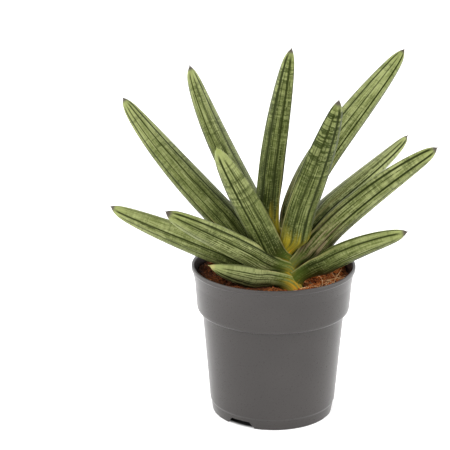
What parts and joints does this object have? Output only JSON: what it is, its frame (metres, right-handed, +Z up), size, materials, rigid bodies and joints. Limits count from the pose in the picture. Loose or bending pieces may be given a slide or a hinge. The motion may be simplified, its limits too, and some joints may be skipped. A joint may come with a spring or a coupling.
{
  "type": "potted boncellensis snake plant",
  "caption": "Compact snake plant with stout, pointed, fanned leaves banded in two greens, rooted in coir in a tapered grey plastic nursery pot.",
  "frame": {"origin": "centre of the pot's foot, on the surface that the pot stands on", "axes": "+Z up; -Y towards the front, which the picture shows from a little above; +X to the right"},
  "size_m": [0.2361, 0.1201, 0.274],
  "materials": {
    "pot_plastic": "satin",
    "coir": "matte",
    "stem": "matte",
    "leaf": "satin"
  },
  "bodies": {
    "root": {"pot": "pot_plastic", "substrate": "coir", "stem": "stem", "leaf_front_left_low": "leaf", "leaf_right_low": "leaf", "leaf_far_left": "leaf", "leaf_left_long": "leaf", "leaf_front_left": "leaf", "leaf_right": "leaf", "leaf_front_left_rising": "leaf", "leaf_back_right": "leaf", "leaf_front_right_rising": "leaf", "leaf_back_left_rising": "leaf", "leaf_right_long": "leaf", "leaf_centre": "leaf"}
  },
  "joints": []
}
